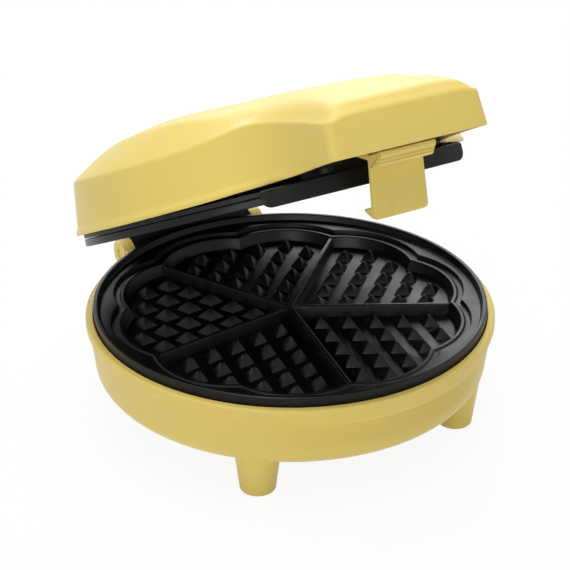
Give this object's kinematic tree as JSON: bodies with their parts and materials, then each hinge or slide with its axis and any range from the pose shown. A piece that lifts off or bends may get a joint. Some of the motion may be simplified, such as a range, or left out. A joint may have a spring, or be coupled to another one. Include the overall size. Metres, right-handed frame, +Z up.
{
  "type": "waffle maker",
  "caption": "Round countertop waffle maker with a hinged lid, heart-shaped grid plates, a front latch and short tapered feet, standing with its lid half open.",
  "frame": {"origin": "on the table, under the middle of the whole part as it rests, 9.6 mm behind the middle of the round base", "axes": "+Z up, -Y towards the front with the latch and handle, +X to the right seen from the front"},
  "size_m": [0.2156, 0.2348, 0.2067],
  "materials": {
    "yellow_plastic": "satin, pastel yellow",
    "black_plastic": "satin black",
    "coated_aluminium": "black non-stick coating",
    "bare_steel": "plain",
    "reflector_sheet": "dull",
    "foot_rubber": "matte",
    "ivory_plastic": "matte",
    "red_lens": "clear red",
    "green_lens": "clear green",
    "lead_cover": "matte"
  },
  "bodies": {
    "base": {"base_shell": "yellow_plastic", "lower_plate": "coated_aluminium", "lower_heater": "bare_steel", "lower_reflector": "reflector_sheet", "lower_reflector_screw": "bare_steel", "foot_pad_fl": "foot_rubber", "foot_pad_fr": "foot_rubber", "foot_pad_rl": "foot_rubber", "foot_pad_rr": "foot_rubber", "base_screw_1": "bare_steel", "base_screw_2": "bare_steel", "base_screw_3": "bare_steel", "hinge_pin_left": "bare_steel", "hinge_pin_right": "bare_steel", "lower_lead_left": "lead_cover", "lower_lead_right": "lead_cover", "cord_gland": "black_plastic", "terminal_block": "ivory_plastic"},
    "lid": {"lid_shell": "yellow_plastic", "lid_frame": "black_plastic", "upper_plate": "coated_aluminium", "upper_heater": "bare_steel", "upper_reflector": "reflector_sheet", "upper_reflector_screw": "bare_steel", "thermostat": "ivory_plastic", "thermal_fuse": "reflector_sheet", "plate_screw_1": "bare_steel", "plate_screw_2": "bare_steel", "plate_screw_3": "bare_steel", "lid_front_screw_left": "bare_steel", "lid_front_screw_right": "bare_steel", "lid_rear_screw_left": "bare_steel", "lid_rear_screw_right": "bare_steel", "power_lens": "red_lens", "ready_lens": "green_lens", "power_lamp": "ivory_plastic", "ready_lamp": "ivory_plastic", "latch_pin": "bare_steel"},
    "latch": {"latch": "yellow_plastic"}
  },
  "joints": [
    {"name": "lid_hinge", "type": "hinge", "parent": "base", "child": "lid", "pos_m": [0, 0.10297, 0.0488], "axis": [-1, 0, 0], "range_deg": [-27.5, 67.5]},
    {"name": "latch_pivot", "type": "hinge", "parent": "lid", "child": "latch", "pos_m": [0, -0.07993, 0.17411], "axis": [-1, 0, 0], "range_deg": [-18, 18]}
  ]
}
